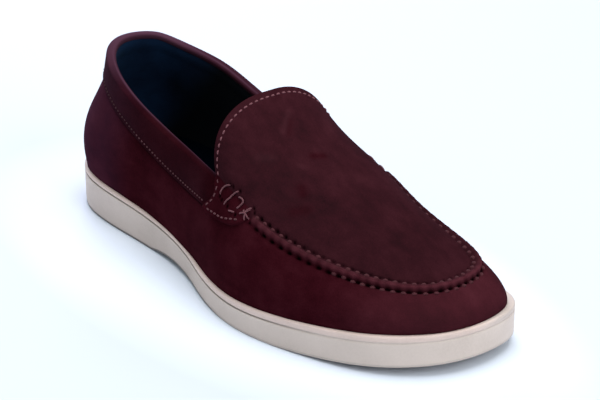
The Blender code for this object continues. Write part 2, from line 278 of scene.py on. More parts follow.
def pick(*pieces):
    bpy.ops.object.select_all(action="DESELECT")
    for piece in pieces:
        piece.select_set(True)
    if pieces:
        bpy.context.view_layer.objects.active = pieces[0]


def layGrid(name, points):
    rows, columns = points.shape[:2]
    pick()
    bpy.ops.mesh.primitive_grid_add(x_subdivisions=columns - 1, y_subdivisions=rows - 1)
    piece = bpy.context.object
    piece.name = piece.data.name = name
    piece.data.vertices.foreach_set("co", toMetres(points.reshape(-1, 3)).ravel())
    piece.data.update()
    return piece


def startEdit(piece):
    bpy.context.view_layer.objects.active = piece
    bpy.ops.object.mode_set(mode="EDIT")
    bpy.ops.mesh.select_all(action="SELECT")


def weld(piece):
    startEdit(piece)
    bpy.ops.mesh.remove_doubles(threshold=weldReach)
    bpy.ops.mesh.dissolve_degenerate(threshold=weldReach)
    bpy.ops.object.mode_set(mode="OBJECT")


def capEnds(piece):
    startEdit(piece)
    bpy.ops.mesh.fill_holes(sides=0)
    bpy.ops.mesh.select_all(action="SELECT")
    bpy.ops.mesh.normals_make_consistent(inside=False)
    bpy.ops.object.mode_set(mode="OBJECT")


def joinPieces(pieces, name):
    pick(*pieces)
    bpy.ops.object.join()
    whole = bpy.context.object
    whole.name = whole.data.name = name
    bpy.ops.object.transform_apply(location=True, rotation=True, scale=True)
    return whole


def applyAll(piece):
    pick(piece)
    for modifier in list(piece.modifiers):
        bpy.ops.object.modifier_apply(modifier=modifier.name)


def thicken(piece, thickness):
    layer = piece.modifiers.new("Wall", "SOLIDIFY")
    layer.thickness = thickness * millimetre
    layer.offset = -1  # inwards
    layer.use_even_offset = False
    layer.use_quality_normals = True
    applyAll(piece)


def roundRim(piece, width, angle):
    layer = piece.modifiers.new("Rim", "BEVEL")
    layer.width = width * millimetre
    layer.segments = 2
    layer.limit_method = "ANGLE"
    layer.angle_limit = math.radians(angle)
    applyAll(piece)


def placesOf(piece):
    return np.array([toMillimetres(point.co) for point in piece.data.vertices])


def faceOf(piece):
    return BVHTree.FromObject(piece, bpy.context.evaluated_depsgraph_get())


def paint(piece, name, shade):
    mark = piece.data.attributes.new(name, "FLOAT", "POINT")
    mark.data.foreach_set("value", np.asarray(shade, np.float32).ravel())


def keep(piece, slotName, material, angle, *nodes):
    # faces that meet at less than the angle are shaded as one
    pick(piece)
    bpy.ops.object.shade_smooth_by_angle(angle=math.radians(angle))
    piece.data.materials.clear()
    piece.data.materials.append(material)
    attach(piece, "root")
    if nodes:
        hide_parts(*nodes)
    print("made", piece.name, len(piece.data.polygons), "faces")


# Shader maths: a wire is one output of a node, and sums on wires add their Math nodes.
class Wire:
    def __init__(self, tree, socket=None):
        self.tree = tree
        self.socket = socket

    def make(self, kind, settings=(), links=(), output=0):
        made = self.tree.nodes.new(kind)
        for name, value in dict(settings).items():
            if name == "stops":
                while len(made.color_ramp.elements) < len(value):
                    made.color_ramp.elements.new(0.5)
                for element, (place, colour) in zip(made.color_ramp.elements, value):
                    element.position = place
                    element.color = (*colour, 1.0)
            else:
                setattr(made, name, value)
        for name, value in dict(links).items():
            if isinstance(value, Wire):
                self.tree.links.new(value.socket, made.inputs[name])
            else:
                made.inputs[name].default_value = value
        return Wire(self.tree, made.outputs[output])

    def sum(self, operation, first, second):
        return self.make("ShaderNodeMath", {"operation": operation}, {0: first, 1: second})

    def __add__(self, other):
        return self.sum("ADD", self, other)

    __radd__ = __add__

    def __sub__(self, other):
        return self.sum("SUBTRACT", self, other)

    def __rsub__(self, other):
        return self.sum("SUBTRACT", other, self)

    def __mul__(self, other):
        return self.sum("MULTIPLY", self, other)

    __rmul__ = __mul__

    def noise(self, place, scale, detail, roughness):
        links = {"Vector": place, "Scale": scale, "Detail": detail, "Roughness": roughness}
        return self.make("ShaderNodeTexNoise", {}, links)

    def blend(self, share, first, second, kind="MIX"):
        settings = {"data_type": "RGBA", "blend_type": kind}
        return self.make("ShaderNodeMix", settings, {0: share, 6: first, 7: second}, 2)

    def ramp(self, places, colours):
        return self.make("ShaderNodeValToRGB", {"stops": list(zip(places, colours))}, {0: self})

    def painted(self, name):
        return self.make("ShaderNodeAttribute", {"attribute_name": name}, output=2)

    def bump(self, height, strength, depth):
        return self.make("ShaderNodeBump", {}, {"Strength": strength, "Distance": depth, "Height": height})


def startMaterial(name, constants):
    material = bpy.data.materials.new(name)
    material.use_nodes = True
    tree = material.node_tree
    shader = tree.nodes["Principled BSDF"]
    for socket, value in constants.items():
        shader.inputs[socket].default_value = value
    wire = Wire(tree)
    place = wire.make("ShaderNodeTexCoord", output=3)
    return material, shader, wire, place


def plug(wire, shader, **sockets):
    for name, value in sockets.items():
        wire.tree.links.new(value.socket, shader.inputs[name.replace("_", " ")])


def dimmed(shades, share):
    return [tuple(np.array(shade) * share) for shade in shades]


# Each noise below is scale, detail and roughness, and each bump is strength and depth in metres.
suedeLook = {
    "shades": [(0.0110, 0.0011, 0.0022), (0.0225, 0.0027, 0.0050), (0.0360, 0.0062, 0.0098)],
    "stops": (0.15, 0.5, 0.9),
    # hole is the near-black colour of painted shade: in holes and slots, under the band's edge and at the
    # vamp's toe end; it also gives the dark nap marks
    "hole": (0.0012, 0.0002, 0.0003), "beadHighlight": (0.0640, 0.0165, 0.0225), "rimHighlight": (0.0700, 0.0300, 0.0500),
    # dust, toe and heel are added colours of painted light: a greyish sheen on the vamp, light on the toe
    # wall and a bluish sheen at the heel; toe also gives the light nap marks
    "dust": (0.0, 0.0026, 0.0028), "toe": (0.0130, 0.0046, 0.0058), "heel": (0.0170, 0.0090, 0.0190),
    "cloud": (38.0, 3.0, 0.55), "brush": (170.0, 3.0, 0.6), "brushed": (0.45, 1.0, 1.0),
    "nap": (1500.0, 2.0, 0.7), "fibre": (4200.0, 1.0, 0.5),
    "cloudShare": 0.95, "brushShare": 0.55, "napShare": 0.55,
    "napRise": 0.6, "fibreRise": 0.4, "brushRise": 0.5, "bump": (0.35, 0.0005),
    "constants": {"Roughness": 1.0, "Specular IOR Level": 0.0, "Sheen Roughness": 0.35},
}


def suedeMaterial(name, highlit, tone, sheen, sheenTint):
    look = suedeLook
    sheenTouch = {"Sheen Weight": sheen, "Sheen Tint": (*sheenTint, 1.0)}
    material, shader, wire, place = startMaterial(name, {**look["constants"], **sheenTouch})
    stretched = wire.make("ShaderNodeMapping", {}, {"Vector": place, "Scale": look["brushed"]})
    cloud = wire.noise(place, *look["cloud"])
    brush = wire.noise(stretched, *look["brush"])
    nap = wire.noise(place, *look["nap"])
    fibre = wire.noise(place, *look["fibre"])
    mottle = 0.5 + (cloud - 0.5) * look["cloudShare"] + (brush - 0.5) * look["brushShare"]
    mottle = mottle + (nap - 0.5) * look["napShare"]
    colour = mottle.ramp(look["stops"], dimmed(look["shades"], tone))
    # painted sheen and light added on the vamp, the toe wall and the heel, and the light nap marks
    for mark in ("dust", "toe", "heel"):
        colour = wire.blend(wire.painted(mark + "Shade"), colour, (*look[mark], 1.0), "ADD")
    # painted highlight on the bead's crest and on the band's roll
    colour = wire.blend(wire.painted("rubShade"), colour, (*look[highlit], 1.0))
    # painted shade in holes and slots, under the band's edge and at the vamp's toe end, and the dark nap
    # marks
    colour = wire.blend(wire.painted("holeShade"), colour, (*look["hole"], 1.0))
    height = nap * look["napRise"] + fibre * look["fibreRise"] + brush * look["brushRise"]
    plug(wire, shader, Base_Color=colour, Normal=wire.bump(height, *look["bump"]))
    return material


rubberLook = {
    "shades": [(0.378, 0.322, 0.286), (0.458, 0.397, 0.358), (0.520, 0.457, 0.415)],
    # groove is the dark colour of the painted shade and shadow on the sole; lip makes the lip's upper face
    # lighter and pinker, as painted light
    "stops": (0.2, 0.5, 0.85), "groove": (0.09, 0.08, 0.08), "lip": (1.1, 1.02, 1.02),
    "cloud": (26.0, 3.0, 0.6), "speck": (900.0, 2.0, 0.6), "cloudShare": 0.8, "speckShare": 0.25,
    "rough": 0.48, "cloudRough": 0.16, "cloudRise": 0.5, "bump": (0.12, 0.0003),
    "constants": {"Specular IOR Level": 0.35},
}


def rubberMaterial(name):
    look = rubberLook
    material, shader, wire, place = startMaterial(name, look["constants"])
    cloud = wire.noise(place, *look["cloud"])
    speck = wire.noise(place, *look["speck"])
    tone = 0.5 + (cloud - 0.5) * look["cloudShare"] + (speck - 0.5) * look["speckShare"]
    colour = tone.ramp(look["stops"], look["shades"])
    # the lip's upper face painted lighter and pinker: painted light
    colour = wire.blend(wire.painted("lipShade"), colour, (*look["lip"], 1.0), "MULTIPLY")
    colour = wire.blend(wire.painted("grooveShade"), colour, (*look["groove"], 1.0))
    rough = look["rough"] + cloud * look["cloudRough"]
    bump = wire.bump(speck + cloud * look["cloudRise"], *look["bump"])
    plug(wire, shader, Base_Color=colour, Roughness=rough, Normal=bump)
    return material


liningLook = {
    "shades": [(0.0012, 0.0050, 0.0165), (0.0046, 0.0215, 0.0600)], "stops": (0.3, 0.75),
    "low": (0.0003, 0.0003, 0.0010), "cloud": (55.0, 3.0, 0.6), "grain": (2600.0, 2.0, 0.6),
    "cloudShare": 0.7, "grainShare": 0.3, "bump": (0.25, 0.0003),
    "constants": {"Roughness": 0.85, "Specular IOR Level": 0.08, "Sheen Weight": 0.02, "Sheen Roughness": 0.5,
                  "Sheen Tint": (0.3, 0.6, 0.9, 1.0)},
}


def liningMaterial(name, dim=1.0):
    look = liningLook
    material, shader, wire, place = startMaterial(name, look["constants"])
    for socket in ("Specular IOR Level", "Sheen Weight"):
        shader.inputs[socket].default_value *= dim
    cloud = wire.noise(place, *look["cloud"])
    grain = wire.noise(place, *look["grain"])
    tone = cloud * look["cloudShare"] + grain * look["grainShare"]
    colour = tone.ramp(look["stops"], dimmed(look["shades"], dim))
    # painted shade deeper down and further forward in the shoe
    colour = wire.blend(wire.painted("lowShade"), colour, (*look["low"], 1.0))
    plug(wire, shader, Base_Color=colour, Normal=wire.bump(grain, *look["bump"]))
    return material


threadLook = {
    "shades": [(0.064, 0.022, 0.028), (0.170, 0.070, 0.082)], "stops": (0.25, 0.65),
    "strand": (3200.0, 1.0, 0.5), "bump": (0.4, 0.0002),
    "constants": {"Roughness": 0.85, "Specular IOR Level": 0.1, "Sheen Weight": 0.05, "Sheen Roughness": 0.4},
}


def threadMaterial(name, dim=1.0, tint=(1.0, 1.0, 1.0)):
    look = threadLook
    material, shader, wire, place = startMaterial(name, look["constants"])
    shader.inputs["Sheen Weight"].default_value *= dim
    strand = wire.noise(place, *look["strand"])
    colour = strand.ramp(look["stops"], dimmed(look["shades"], np.array(tint) * dim))
    plug(wire, shader, Base_Color=colour, Normal=wire.bump(strand, *look["bump"]))
    return material


suede = suedeMaterial("oxbloodSuede", "beadHighlight", tone=1.0, sheen=0.012, sheenTint=(1.0, 0.74, 0.94))
# the band's suede is a darker copy of the same suede: painted shade
bandSuede = suedeMaterial("bandSuede", "rimHighlight", tone=0.64, sheen=0.03, sheenTint=(0.92, 0.72, 1.0))
rubber = rubberMaterial("paleRubber")
lining = liningMaterial("navyLining")
# the footbed is a near-black copy of the lining: painted shade at the bottom of the shoe
footbedCloth = liningMaterial("footbedCloth", dim=0.06)
thread = threadMaterial("dustyThread")
dullThread = threadMaterial("dullThread", dim=0.62)
faintThread = threadMaterial("faintThread", dim=0.5)
dimThread = threadMaterial("dimThread", dim=0.3)
seamThread = threadMaterial("seamThread", dim=0.36, tint=(1.0, 0.66, 0.72))
whipThread = threadMaterial("whipThread", dim=0.8)
print("materials ready")


# Sampling of the upper: the wall's columns meet the apron's rows and columns along the seam.
upperForm = {
    "rear": 84, "side": 146, "toe": 58, "footRows": 15, "rearPower": 1.15,
    "growth": (0.4, 0.4, 0.4, 0.4, 0.42, 0.46, 0.55, 0.7, 0.9, 1.1), "sideRun": 140, "toeRun": 50,
    "underSeam": (7.2, 9.2), "bandEdge": (11.4, 17.2, 0.8), "squeeze": 0.72,
    "lining": 0.2, "rimRound": 0.35, "rimAngle": 60, "smooth": 50,
}
seamGrowth = np.cumsum(upperForm["growth"])
closeSide = seamGrowth / upperForm["sideRun"]
closeToe = seamGrowth / upperForm["toeRun"]
alongs = np.concatenate([np.linspace(0, 1 - closeSide[-1], upperForm["side"]), 1 - closeSide[-2::-1], [1.0]])
turns = np.concatenate([[0.0], closeToe, np.linspace(closeToe[-1], 1, upperForm["toe"])[1:]])
acrosses = np.concatenate([turns / 2, (1 - turns / 2)[-2::-1]])
rears = np.linspace(0, 1, upperForm["rear"] + 1) ** upperForm["rearPower"]
stations = np.concatenate([
    placesBetween(0, form["throatOut"], rears)[:-1],
    placesBetween(form["throatOut"], form["cornerOut"], alongs)[:-1],
    placesBetween(form["cornerOut"], form["tip"], turns)[:-1],
    placesBetween(form["tip"], form["cornerIn"], 1 - turns[::-1])[:-1],
    placesBetween(form["cornerIn"], form["throatIn"], 1 - alongs[::-1])[:-1],
    placesBetween(form["throatIn"], len(form["sections"]), 1 - rears[::-1]),
])
sideSteps, toeSteps = len(alongs) - 1, len(turns) - 1
firstSide = upperForm["rear"]
firstToe = firstSide + sideSteps
lastToe = firstToe + 2 * toeSteps
lastSide = lastToe + sideSteps


def wallGrid():
    height = wallHeight(stations)
    depths = np.concatenate([[0.0], seamGrowth, upperForm["underSeam"], np.arange(*upperForm["bandEdge"])])
    squeeze = np.minimum(1, upperForm["squeeze"] * height / depths[-1])
    high = [1 - depth * squeeze / height for depth in depths]
    low = [high[-1] * share for share in np.linspace(1, 0, upperForm["footRows"] + 1)[1:]]
    return np.array([wallPoint(stations, v) for v in (high + low)[::-1]])


def apronGrid(top):
    # the vamp between the two sides of the seam, tongue edge first
    outer = top[firstSide:firstToe + 1]
    toe = top[firstToe:lastToe + 1]
    inner = top[lastToe:lastSide + 1][::-1]
    u = acrosses[None, :, None]
    rows = tableAt("crown", alongs)
    mid = (outer + inner) / 2
    crest = np.column_stack([rows[:, 0], mid[:, 1] + rows[:, 2], rows[:, 1]])
    full = rows[:, 3][:, None, None]
    power = np.where(u < 0.5, form["outerFall"], rows[:, 4][:, None, None])
    turn = np.cos(np.pi * u)
    turn = np.sign(turn) * np.abs(turn) ** power
    rise = np.abs(np.sin(np.pi * u)) ** power
    spread = u + full * ((1 - turn) / 2 - u)
    arch = 4 * u * (1 - u) * (1 - full) + rise * full
    swept = arch + full * (1 - (1 - np.minimum(arch, 1)) ** form["crownSweep"] - arch)
    reach = np.concatenate([swept, arch, arch], -1)
    laid = outer[:, None] * (1 - spread) + inner[:, None] * spread + (crest - mid)[:, None] * reach
    return laid + alongs[:, None, None] ** form["toePull"] * (toe[None] - laid[-1:])


def gridNormals(points):
    normal = np.cross(np.gradient(points, axis=1), np.gradient(points, axis=0))
    return normal / np.maximum(np.linalg.norm(normal, axis=-1, keepdims=True), 1e-9)


plainWall = wallGrid()
plainApron = apronGrid(plainWall[-1])
apronOut = -gridNormals(plainApron)
print("form laid out,", len(stations), "stations round it")

# Beside the rear end of the seam a place is given by its distance in front of the throat and its
# depth: under the seam on the wall, or negative on the apron.
wingForm = {"step": 0.5, "ahead": 60, "away": 20, "turn": 1.5, "lastCell": 1.001}


def apronTable(way):
    # points and outward directions of the apron, at even distances from its edge
    first, last = ("throatOut", "cornerOut") if way > 0 else ("cornerIn", "throatIn")
    edge = edgeAt(np.linspace(knots[form[first]], knots[form[last]], edgeSteps))
    near = alongs * runAlong(edge)[-1]
    near = near[near < wingForm["ahead"]]
    away = np.arange(0, wingForm["away"], wingForm["step"])
    table = []
    for row in np.concatenate([plainApron, apronOut], -1)[:len(near), ::way]:
        table.append(columnsAt(away, runAlong(row[:, :3]), row))
    return near, np.array(table)


apronTables = {way: apronTable(way) for way in (1, -1)}


def onApron(way, ahead, away):
    near, table = apronTables[way]
    i = np.clip(np.interp(ahead, near, np.arange(len(near))), 0, len(near) - wingForm["lastCell"])
    j = np.clip(away / wingForm["step"], 0, table.shape[1] - wingForm["lastCell"])
    i0, j0 = i.astype(int), j.astype(int)
    fi, fj = (i - i0)[..., None], (j - j0)[..., None]
    row = table[i0, j0] * (1 - fi) * (1 - fj) + table[i0 + 1, j0] * fi * (1 - fj)
    row = row + table[i0, j0 + 1] * (1 - fi) * fj + table[i0 + 1, j0 + 1] * fi * fj
    return row[..., :3], row[..., 3:]


def onWing(way, places):
    # points and outward directions of the plain upper
    ahead, depth = np.moveaxis(np.asarray(places, float), -1, 0)
    s = placesBeside(form["throatOut"] if way > 0 else form["throatIn"], way, ahead)
    low = np.maximum(depth, 0)
    wall = wallOff(s, low, np.zeros(s.shape))
    wallUp = wallOff(s, low, np.ones(s.shape)) - wall
    apron, apronUp = onApron(way, np.maximum(ahead, 0), np.maximum(-depth, 0))
    normal = apronUp + (wallUp - apronUp) * rising(depth, -wingForm["turn"], 2 * wingForm["turn"])[..., None]
    return np.where(depth[..., None] < 0, apron, wall), unit(normal)


# The apron seam: a raised bead, slots under it on the wall and holes over it on the apron. A pair
# such as tilt is where along x it starts and over what run. A pair such as leanOut goes to changing.
seamForm = {
    "ridge": 1.9, "half": 1.55, "trough": 0.5, "troughAt": 2.6, "troughHalf": 0.75, "start": 33.0, "run": 5.0,
    "steps": 1600, "tilt": (155, 40), "leanOut": (0.95, -0.35), "leanUp": (0.3, 0.5),
    "pitch": 5.8, "toePitch": 4.7, "toeTurn": (235, 30), "sewnIn": 4.0, "overrun": 0.6,
    "wallRow": 2.4, "wallShift": 0.5, "slot": 0.9, "slotLong": 1.4, "slotHigh": 0.75,
    "slotLess": 0.4, "slotFade": (208, 25),
    "apronRow": 2.1, "apronShift": 0.4, "apronSlope": (0.75, -0.6), "apronFlat": (190, 90),
    "hole": 1.0, "holeHalf": 0.85, "holeOut": 0.9, "holePaintedShade": 1.4, "holeLess": 0.55, "holeFade": (206, 25),
    "innerShare": 0.55, "innerRun": 25, "swing": (0.12, -0.09), "calm": 7,
    # highlight sets the painted highlight along the bead's crest
    "highlight": (0.52, -0.32), "highlightWrap": 0.3, "highlightRagged": 2, "highlightHalf": 0.95,
}
seamPlaces = np.linspace(stations[firstSide], stations[lastSide], seamForm["steps"])
seamLine = wallPoint(seamPlaces, np.ones(seamForm["steps"]))
seamRow = sectionAt(seamPlaces)
seamRun = runAlong(seamLine)
seamTilt = climbing(seamRow["x"], *seamForm["tilt"])
seamOut = -seamRow["inward"] * changing(seamForm["leanOut"], seamTilt)[:, None]
seamRise = np.column_stack([seamOut, changing(seamForm["leanUp"], seamTilt)])
seamRaise = rising(np.minimum(seamRun, seamRun[-1] - seamRun), seamForm["start"], seamForm["run"])
seamTree = KDTree(len(seamLine))
for i, point in enumerate(seamLine):
    seamTree.insert(point, i)
seamTree.balance()
sewnFrom = seamForm["start"] + seamForm["sewnIn"]
sewnTo = seamRun[-1] - sewnFrom
tighter = (seamForm["toePitch"] - seamForm["pitch"]) * rising(seamRow["x"], *seamForm["toeTurn"])
seamPitch = seamForm["pitch"] + tighter
seamBeat = np.cumsum(np.gradient(seamRun) / seamPitch)
seamBeat -= np.interp(sewnFrom, seamRun, seamBeat)
sewnCount = int(np.interp(sewnTo, seamRun, seamBeat))
sewn = np.interp(np.arange(sewnCount + 1), seamBeat, seamRun)


def besideSeam(run, across):
    # points at distances along the seam: across is below it on the wall, or negative on the apron
    s = np.interp(run, seamRun, seamPlaces)
    if across > 0:
        return wallOff(s, np.full(len(s), across), np.zeros(len(s)))
    inward = columnsAt(run, seamRun, seamRow["inward"])
    base = columnsAt(run, seamRun, seamLine)
    slope = changing(seamForm["apronSlope"], climbing(seamRow["x"], *seamForm["apronFlat"]))
    lift = np.interp(run, seamRun, slope)
    return base - np.column_stack([inward, lift]) * across / np.hypot(1, lift)[:, None]


# soft creases: from, to, half width, depth
creases = [
    ((196.0, -30.0, 63.0), (206.0, 22.0, 66.0), 6.0, 0.30),
    ((214.0, -34.0, 54.0), (224.0, 18.0, 58.0), 7.0, 0.28),
    ((176.0, -46.0, 40.0), (205.0, -52.0, 30.0), 8.0, 0.18),
    ((60.0, -36.0, 58.0), (95.0, -37.0, 40.0), 9.0, 0.22),
    ((178.0, 42.0, 42.0), (205.0, 46.0, 32.0), 8.0, 0.18),
    ((120.0, 34.0, 46.0), (150.0, 39.0, 30.0), 9.0, 0.22),
]
creaseEnd = 0.04  # the share of a crease at each end that keeps one depth

# marks in the nap of the vamp: from, to, half width, how light or (below zero) how dark
napMarks = [
    ((160.7, -0.3, 87.1), (169.6, -10.4, 81.6), 1.5, 0.5),
    ((164.5, -2.2, 84.6), (171.5, -8.0, 80.5), 1.3, -0.35),
    ((174.5, -27.7, 74.6), (178.4, -22.8, 74.5), 2.6, 0.4),
    ((188.4, -13.6, 71.2), (190.5, -12.2, 70.8), 1.7, 0.4),
    ((186.1, -4.3, 73.3), (187.7, 0.5, 72.7), 1.9, -0.85),
    ((199.4, -20.6, 65.3), (203.0, -22.0, 63.7), 2.4, -0.6),
    ((207.0, -30.5, 58.2), (210.3, -26.0, 59.2), 3.0, -0.5),
]

# the needle holes of the whipped stitches at the rear end of the seam
whipHoles = [
    (9.2, 3.0), (11.8, 3.6), (18.0, 3.4), (26.2, 3.4), (15.8, -6.0), (18.4, -6.4), (24.4, -7.2), (36.7, -5.0),
]
whipHoleHalf = 0.75
whipHoleAt = np.concatenate([onWing(way, whipHoles)[0] for way in (1, -1)])


def besideLine(points, start, end):
    # the share of the way along a straight line, and the distance from it
    run = np.subtract(end, start)
    share = np.clip((points - start) @ run / (run @ run), 0, 1)
    return share, np.linalg.norm(points - start - share[..., None] * run, axis=-1)


def creaseDepth(points):
    sunk = np.zeros(len(points))
    for start, end, half, depth in creases:
        share, away = besideLine(points, start, end)
        ends = np.sin(np.pi * np.clip(share, creaseEnd, 1 - creaseEnd)) ** 0.5
        sunk += depth * bell(away, half) * ends
    return sunk


def napShade(points):
    light, dark = np.zeros(points.shape[:2]), np.zeros(points.shape[:2])
    for start, end, half, strength in napMarks:
        mark = abs(strength) * bell(besideLine(points, start, end)[1], half)
        light += mark * (strength > 0)
        dark += mark * (strength < 0)
    return light, dark


def unevenness(points):
    # two slow swells of the leather and a finer one
    x, y, z = points.T
    wave = 0.10 * np.sin(x / 9.1 + 1.3) * np.sin(y / 7.7 + z / 11.0)
    wave += 0.10 * np.sin(x / 15.7 - y / 12.3 + 0.4) * np.sin(z / 8.9 + 2.0)
    return wave + 0.04 * np.sin(x / 3.9 + y / 4.7 + z / 5.3)


def raggedness(run):
    # how the seam's crest comes and goes
    return 0.14 * np.sin(run / 2.3 + 0.7) * np.sin(run / 5.9) + 0.08 * np.sin(run / 1.3)


def dressUpper(points, onWall):
    # bead, slots, holes and soft creases; gives the points, the painted shade in the holes and slots, and the
    # painted highlight along the bead
    flat = points.reshape(-1, 3)
    normal = gridNormals(points).reshape(-1, 3)
    found = [seamTree.find(point) for point in flat]
    index = np.array([hit[1] for hit in found])
    away = np.array([hit[2] for hit in found])
    run, beats, raised = seamRun[index], seamBeat[index], seamRaise[index]
    inner = rising(run, seamForm["innerShare"] * seamRun[-1], seamForm["innerRun"])
    swing = changing(seamForm["swing"], inner) * ((run > sewnFrom) & (run < sewnTo))
    wrap = np.cos(2 * np.pi * beats)
    ragged = (1 - inner) * raggedness(run)
    pinch = 1 - swing * wrap + ragged
    bead = seamForm["ridge"] * pinch * bell(away, seamForm["half"] * (1 + pinch) / 2, 4)
    trough = seamForm["trough"] * bell(away - seamForm["troughAt"], seamForm["troughHalf"])
    shift = seamForm["wallShift"] if onWall else seamForm["apronShift"]
    beat = seamPitch[index] * (np.mod(beats - shift + 0.5, 1) - 0.5)
    if onWall:
        hole = bell(beat, seamForm["slotLong"]) * bell(away - seamForm["wallRow"], seamForm["slotHigh"])
        hole = hole * (1 - seamForm["slotLess"] * falling(flat[:, 0], *seamForm["slotFade"]))
        deep = seamForm["slot"]
    else:
        far = np.hypot(beat, away - seamForm["apronRow"] - seamForm["holeOut"])
        hole = bell(far, seamForm["holeHalf"])
        hole = hole * (1 - seamForm["holeLess"] * rising(flat[:, 0], *seamForm["holeFade"]))
        deep = seamForm["hole"]
    hole = hole * ((beats > -seamForm["overrun"]) & (beats < sewnCount + seamForm["overrun"]))
    for centre in whipHoleAt:
        hole = np.maximum(hole, bell(np.linalg.norm(flat - centre, axis=1), whipHoleHalf))
    soft = (unevenness(flat) - creaseDepth(flat)) * np.clip(away / seamForm["calm"], 0, 1) ** 2
    lift = (bead - trough) * raised
    moved = flat + seamRise[index] * lift[:, None] + normal * (soft - deep * hole)[:, None]
    # the bead's crest is painted lighter: a painted highlight
    highlit = 1 + seamForm["highlightWrap"] * wrap + seamForm["highlightRagged"] * ragged
    highlight = highlit * changing(seamForm["highlight"], inner) * raised
    highlight = highlight * bell(away, seamForm["highlightHalf"] * seamForm["half"], 4)
    # the holes and slots are also painted dark: painted shade in the recesses
    dark = np.clip(seamForm["holePaintedShade"] * hole, 0, 1)
    return moved.reshape(points.shape), dark.reshape(points.shape[:2]), np.clip(highlight, 0, 1)


# where the upper is painted: light on the toe wall, a bluish sheen at the heel, shade at the vamp's toe end
# and a shadow under the band's edge
upperShade = {
    "toe": (240, 50), "heelWide": (78, 36), "heelNarrow": (40, 30),
    "apronToe": (185, 70), "apronDim": 0.14, "markDim": 0.25,
    "lineDrop": 0.35, "lineUp": 1.2, "lineDown": 1.15, "lineDark": 0.95,
}


def bandShadow():
    # a painted shadow: the dark line on the wall under the band's lower edge
    depth = plainWall[-1, :, 2] - plainWall[..., 2]
    under = depth - bandWidth(plainWall[-1, :, 0]) - upperShade["lineDrop"]
    order = np.arange(len(stations))
    behind = (order < firstSide) | (order > lastSide)
    half = np.where(under < 0, upperShade["lineUp"], upperShade["lineDown"])
    return upperShade["lineDark"] * bell(under, half) * behind


def upperPiece():
    wallLaid, wallPaintedShade, wallHighlight = dressUpper(plainWall, True)
    wallLaid[0, :, 2] -= form["gap"]
    wall = layGrid("wall", wallLaid)
    wallX = plainWall[..., 0]
    # a painted bluish sheen towards the heel
    heel = falling(wallX, *upperShade["heelWide"]) + falling(wallX, *upperShade["heelNarrow"])
    # painted shade in the slots and a painted shadow under the band's edge
    paint(wall, "holeShade", np.maximum(wallPaintedShade, bandShadow()))
    paint(wall, "rubShade", wallHighlight)
    # the toe wall is painted lighter: painted light
    paint(wall, "toeShade", rising(wallX, *upperShade["toe"]))
    paint(wall, "heelShade", heel / 2)
    faceUp = plainApron[:, ::-1]
    apronLaid, apronPaintedShade, apronHighlight = dressUpper(faceUp, False)
    apron = layGrid("apron", apronLaid)
    lightMarks, darkMarks = napShade(faceUp)
    # the vamp is painted darker towards its toe end: painted shade
    toePaintedShade = upperShade["apronDim"] * rising(faceUp[..., 0], *upperShade["apronToe"])
    paint(apron, "holeShade", np.maximum(apronPaintedShade, toePaintedShade + upperShade["markDim"] * darkMarks))
    # the same lighter colour gives the light nap marks on the vamp
    paint(apron, "toeShade", lightMarks)
    paint(apron, "rubShade", apronHighlight)
    # a greyish sheen is painted on the vamp, left off at the dark nap marks
    paint(apron, "dustShade", np.clip(1 - darkMarks, 0, 1))
    whole = joinPieces([wall, apron], "suedeUpper")
    weld(whole)
    return whole


upper = upperPiece()
upperFace = faceOf(upper)
thicken(upper, form["wall"] - upperForm["lining"])
roundRim(upper, upperForm["rimRound"], upperForm["rimAngle"])
weld(upper)
keep(upper, "suede", suede, upperForm["smooth"], "upper")
print("upper ready")

# The sole: rings from the underside to the lip, then a cap on each.
soleForm = {
    "steps": 420, "capSteps": 20, "lipRound": 1.1, "lipSteps": 6, "smooth": 40,
    "foot": [  # inset, height over the ground line
        (4.0, 0.0), (1.3, 0.0), (0.8, 0.1), (0.5, 0.35), (0.4, 0.8), (0.38, 1.15), (0.36, 1.6), (0.2, 4.0),
    ],
    "grooveSide": [(0.05, 1.2), (0.0, 0.25), (0.12, 0.0)],  # inset, distance from the groove's edge
    "grooveHalf": 0.5, "grooveFloor": 0.6, "grooveDepth": 0.8, "toeDepth": 0.3, "faint": (200, 55),
}
# painted shade on the sole: in the groove, a painted shadow along the lowest edge, and on the lip round the
# toe's tip
soleShade = {
    "groove": 0.42, "toeGroove": 0.1, "near": 0.02,
    "footHigh": 1.2, "foot": (0.2, 0.75), "footFade": (185, 25),
    "tipAhead": (240, 20), "tipSide": (8, 22), "tip": 0.14, "tipDull": 0.85, "lipRun": 0.8,
}
soleRing = placesBetween(0, len(form["sections"]), np.linspace(0, 1, soleForm["steps"] + 1))[:-1]


def capGrid(ring, height, raised):
    half = len(ring) // 2
    shares = np.linspace(0, 1, soleForm["capSteps"] + 1)
    near = ring[:half + 1, :2]
    far = np.concatenate([ring[:1], ring[:half - 1:-1]])[:half + 1, :2]
    flat = near[:, None] + (far - near)[:, None] * shares[None, :, None]
    return np.concatenate([flat, (height(flat[..., 0]) + raised)[..., None]], -1)


def slabPiece(name, rows):
    # each row is an inset from the sole's edge, a height along x, and how far over it the ring lies
    rings = []
    for inset, height, raised in rows:
        flat = soleEdge(soleRing, inset)
        rings.append(np.column_stack([flat, height(flat[:, 0]) + raised]))
    side = np.array([np.vstack([ring, ring[:1]]) for ring in rings])
    body = layGrid(name + "Side", side)
    under = layGrid(name + "Under", capGrid(rings[0], *rows[0][1:]))
    over = layGrid(name + "Over", capGrid(rings[-1], *rows[-1][1:])[:, ::-1])
    whole = joinPieces([body, under, over], name)
    weld(whole)
    return whole


def faintAtToe(full, faint, x):
    # the groove grows faint round the toe
    return full + (faint - full) * rising(x, *soleForm["faint"])


